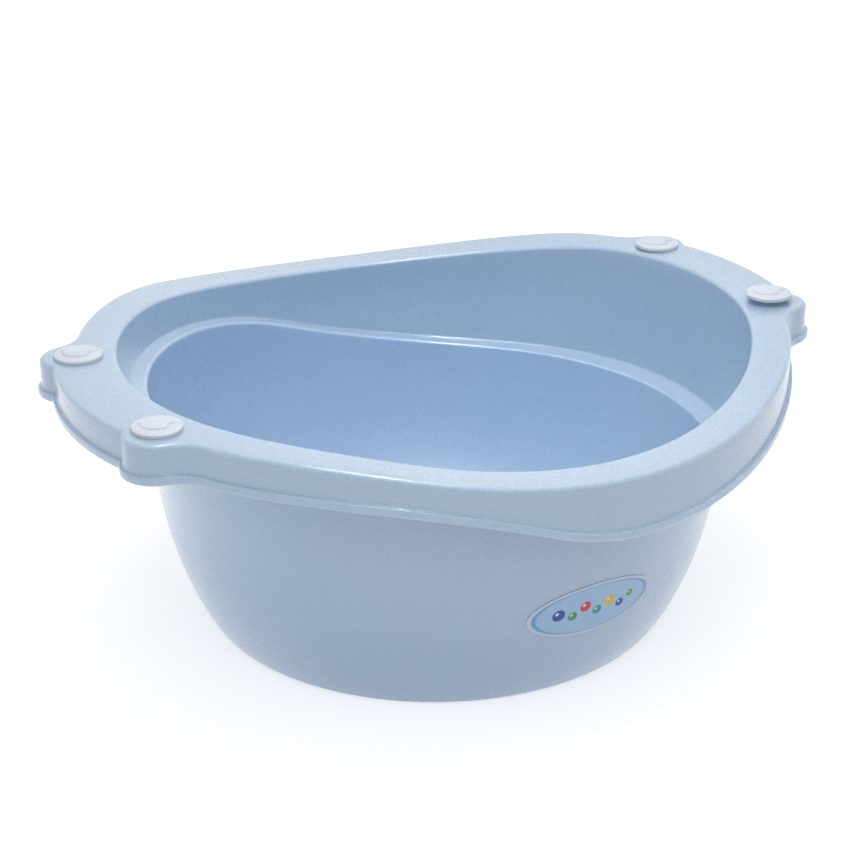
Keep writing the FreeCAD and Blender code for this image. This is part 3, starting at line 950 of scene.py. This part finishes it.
def makeLabelTree():  # a sheet of squares, drawn out to an oval and laid on the bowl's wall
    wallSizes = ("Wall Height", "Top Length", "Top Width", "Base Length", "Base Width")
    inputs = [(name, "NodeSocketFloat", 0.001) for name in labelLengths + wallSizes]
    inputs += [("Depth Power", "NodeSocketFloat", 2.8), ("Turn Power", "NodeSocketFloat", 1.15),
               ("Material", "NodeSocketMaterial", None)]
    tree, given, out = newTree("wallLabel", inputs)

    def blend(low, high, share):
        return addMultiplyAdd(tree, addMath(tree, "SUBTRACT", high, low), share, low)

    def drawnIn(value, other):  # square to disc
        share = addMultiplyAdd(tree, addMath(tree, "MULTIPLY", other, other), -0.5, 1.0)
        return addMath(tree, "MULTIPLY", value, addMath(tree, "SQRT", share))

    sheet = addNode(tree, "GeometryNodeMeshGrid", None,
                    {"Size X": 2.0, "Size Y": 2.0, "Vertices X": label["sheetVertices"][0],
                     "Vertices Y": label["sheetVertices"][1]})
    place = addNode(tree, "GeometryNodeInputPosition").outputs[0]
    split = addNode(tree, "ShaderNodeSeparateXYZ", None, {0: place}).outputs
    x = addMultiplyAdd(tree, drawnIn(split[0], split[1]), given["Half Length"], given["Centre X"])
    z = addMultiplyAdd(tree, drawnIn(split[1], split[0]), given["Half Height"], given["Centre Z"])
    depth = addMath(tree, "SUBTRACT", 1.0, addMath(tree, "DIVIDE", z, given["Wall Height"]))
    inner = addMath(tree, "SUBTRACT", 1.0, addMath(tree, "POWER", depth, given["Depth Power"]))
    turn = addMath(tree, "POWER", inner, addMath(tree, "DIVIDE", 1.0, given["Turn Power"]))
    length = blend(given["Base Length"], given["Top Length"], turn)
    width = blend(given["Base Width"], given["Top Width"], turn)
    along = addMath(tree, "DIVIDE", x, length)
    square = addMath(tree, "MULTIPLY", along, along)
    across = addMath(tree, "SQRT", addMath(tree, "SUBTRACT", 1.0, square))
    front = addMath(tree, "MULTIPLY", addMath(tree, "MULTIPLY", width, across), -1.0)
    y = addMath(tree, "SUBTRACT", front, given["Lift"])
    onWall = addNode(tree, "ShaderNodeCombineXYZ", None, {"X": x, "Y": y, "Z": z})
    laid = addNode(tree, "GeometryNodeSetPosition", None,
                   {"Geometry": sheet.outputs[0], "Position": onWall.outputs[0]})
    outward = addNode(tree, "ShaderNodeCombineXYZ", None,
                      {"Y": addMath(tree, "MULTIPLY", given["Thickness"], -1.0)})
    thick = addNode(tree, "GeometryNodeExtrudeMesh", None,
                    {"Mesh": laid.outputs[0], "Offset": outward.outputs[0], "Offset Scale": 1.0,
                     "Individual": False})
    back = addNode(tree, "GeometryNodeFlipFaces", None, {"Mesh": laid.outputs[0]})
    closed = addNode(tree, "GeometryNodeMergeByDistance", None,
                     {"Geometry": joined(tree, [thick.outputs[0], back.outputs[0]]),
                      "Distance": 0.00001})
    endTree(tree, closed.outputs[0], given["Material"], out)
    return tree


def makeLabelPrint():
    material, tree, shader = newMaterial("labelPrint")
    place = addNode(tree, "ShaderNodeTexCoord").outputs["Object"]
    split = addNode(tree, "ShaderNodeSeparateXYZ", None, {0: place}).outputs
    alongMm = addMath(tree, "SUBTRACT", split[0], label["centreX"] * mm)
    alongMm = addMath(tree, "MULTIPLY", alongMm, 1000.0)
    upMm = addMath(tree, "SUBTRACT", split[2], label["centreZ"] * mm)
    upMm = addMath(tree, "MULTIPLY", upMm, 1000.0)

    def inside(middle, halves, soft):  # 1 inside an oval, with an edge as soft as ink's
        flat = addNode(tree, "ShaderNodeCombineXYZ", None, {
            "X": addMath(tree, "DIVIDE", addMath(tree, "SUBTRACT", alongMm, middle[0]), halves[0]),
            "Y": addMath(tree, "DIVIDE", addMath(tree, "SUBTRACT", upMm, middle[1]), halves[1])})
        far = addNode(tree, "ShaderNodeVectorMath", {"operation": "LENGTH"},
                      {0: flat.outputs[0]})
        return addNode(tree, "ShaderNodeMapRange", None,
                       {"Value": far.outputs["Value"], "From Min": 1.0 - soft,
                        "From Max": 1.0 + soft, "To Min": 1.0, "To Max": 0.0}).outputs[0]

    def over(under, mask, color):
        return addNode(tree, "ShaderNodeMix", {"data_type": "RGBA"},
                       {0: mask, 6: under, 7: color}).outputs[2]

    pearl = addGroup(tree, pearlGroup, {"Base": label["margin"], "Flake": (1, 1, 1, 1),
                                        "Scale": 1400.0, "Amount": 0.05, "Drift": 0.08})
    wear = addGroup(tree, wearGroup, {"Scale": label["wearScale"],
                                      "Amount": label["wearAmount"]})
    color = over(pearl.outputs["Color"], inside((0.0, 0.0), label["ringHalves"], 0.012),
                 label["ring"])
    color = over(color, inside((0.0, 0.0), label["fillHalves"], 0.012), label["fill"])
    for along, up, radius, paint in label["dots"]:
        color = over(color, inside((along, up), (radius, radius), 0.06), paint)
        color = over(color, inside((along - 0.3 * radius, up + 0.3 * radius),
                                   (0.28 * radius, 0.28 * radius), 0.2), label["shine"])
    color = over(color, wear.outputs["Mask"], label["scratch"])
    tree.links.new(color, shader.inputs["Base Color"])
    shader.inputs["Roughness"].default_value = label["roughness"]
    crease = addNode(tree, "ShaderNodeTexWave", {"wave_type": "BANDS", "bands_direction": "X"},
                     {"Vector": place, "Scale": label["creaseScale"], "Distortion": 1.2,
                      "Detail": 2.0})
    fold = addMath(tree, "POWER", crease.outputs["Fac"], 40.0)
    addBump(tree, shader, fold, 0.35, 0.0003)
    return material


labelMaterial = makeLabelPrint()
labelValues = sizesFrom(label, labelLengths, mm)
labelValues.update({
    "Wall Height": tub["height"] * mm,
    "Top Length": tub["bowlHalfLength"] * mm,
    "Top Width": tub["bowlHalfWidth"] * mm,
    "Base Length": tub["baseHalfLength"] * mm,
    "Base Width": tub["baseHalfWidth"] * mm,
    "Depth Power": tub["depthPower"],
    "Turn Power": tub["turnPower"],
    "Material": labelMaterial,
})
wallLabel = grown("wallLabel", bpy.data.meshes.new("labelSheet"), makeLabelTree(), labelValues,
                  labelMaterial)
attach(wallLabel, "tub")
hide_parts("label")
print("label:", len(wallLabel.data.polygons), "faces")


studio = {
    "floorSize": 12.0,
    "floorColor": (0.92, 0.92, 0.92, 1.0),
    "floorGlow": 0.52,        # seen directly or mirrored, lights nothing; keeps the floor white
    "horizon": 0.2,           # soft light of the room, from level to straight up
    "zenith": 0.85,
    "lamps": (                # name, place, aim, size in metres, watts, spread in degrees
        ("overheadSoftbox", (0.1, 0.2, 1.7), (0, 0, 0.1), (0.6, 0.5), 5.5, 180.0),
        ("frontSoftbox", (-0.9, -1.6, 1.9), (0, 0.05, 0.15), (0.9, 0.9), 3.0, 180.0),
        ("bowlFill", (0.0, -0.25, 1.4), (0, 0, 0), (0.3, 0.3), 0.45, 26.0),
    ),
}


def makeFloor():
    shape = bmesh.new()
    bmesh.ops.create_grid(shape, x_segments=1, y_segments=1, size=0.5 * studio["floorSize"])
    mesh = bpy.data.meshes.new("floor")
    shape.to_mesh(mesh)
    shape.free()
    floor = addObject("floor", mesh)
    material, tree, shader = newMaterial("paleFloor")
    shader.inputs["Base Color"].default_value = studio["floorColor"]
    shader.inputs["Roughness"].default_value = 0.9
    shader.inputs["Specular IOR Level"].default_value = 0.0
    path = addNode(tree, "ShaderNodeLightPath")
    seen = addMath(tree, "MAXIMUM", path.outputs["Is Camera Ray"], path.outputs["Is Glossy Ray"])
    seen = addMath(tree, "MAXIMUM", seen, path.outputs["Is Transmission Ray"])
    shader.inputs["Emission Color"].default_value = (1, 1, 1, 1)
    glow = addMath(tree, "MULTIPLY", seen, studio["floorGlow"])
    tree.links.new(glow, shader.inputs["Emission Strength"])
    setMaterial(floor, material)


def makeWorld():
    world = bpy.data.worlds.new("studio")
    bpy.context.scene.world = world
    world.use_nodes = True
    tree = world.node_tree
    background = tree.nodes["Background"]
    path = addNode(tree, "ShaderNodeLightPath")
    seen = addMath(tree, "MAXIMUM", path.outputs["Is Camera Ray"], path.outputs["Is Glossy Ray"])
    seen = addMath(tree, "MAXIMUM", seen, path.outputs["Is Transmission Ray"])
    upward = addNode(tree, "ShaderNodeSeparateXYZ", None,
                     {0: addNode(tree, "ShaderNodeTexCoord").outputs["Generated"]})
    room = addNode(tree, "ShaderNodeMapRange", None,
                   {"Value": upward.outputs[2], "To Min": studio["horizon"],
                    "To Max": studio["zenith"]})
    strength = addNode(tree, "ShaderNodeMix", {"data_type": "FLOAT"},
                       {0: seen, 2: room.outputs[0], 3: 1.0})
    background.inputs["Color"].default_value = (1, 1, 1, 1)
    tree.links.new(strength.outputs[0], background.inputs["Strength"])


def addLamp(name, place, aim, size, power, spread):
    data = bpy.data.lights.new(name, "AREA")
    data.shape = "RECTANGLE"
    data.size, data.size_y = size
    data.energy = power
    data.spread = math.radians(spread)
    lamp = bpy.data.objects.new(name, data)
    bpy.context.scene.collection.objects.link(lamp)
    lamp.location = place
    lamp.rotation_euler = (Vector(aim) - Vector(place)).to_track_quat("-Z", "Y").to_euler()


makeFloor()
makeWorld()
for lampSettings in studio["lamps"]:
    addLamp(*lampSettings)
bpy.context.scene.view_settings.view_transform = "Standard"
print("studio set")
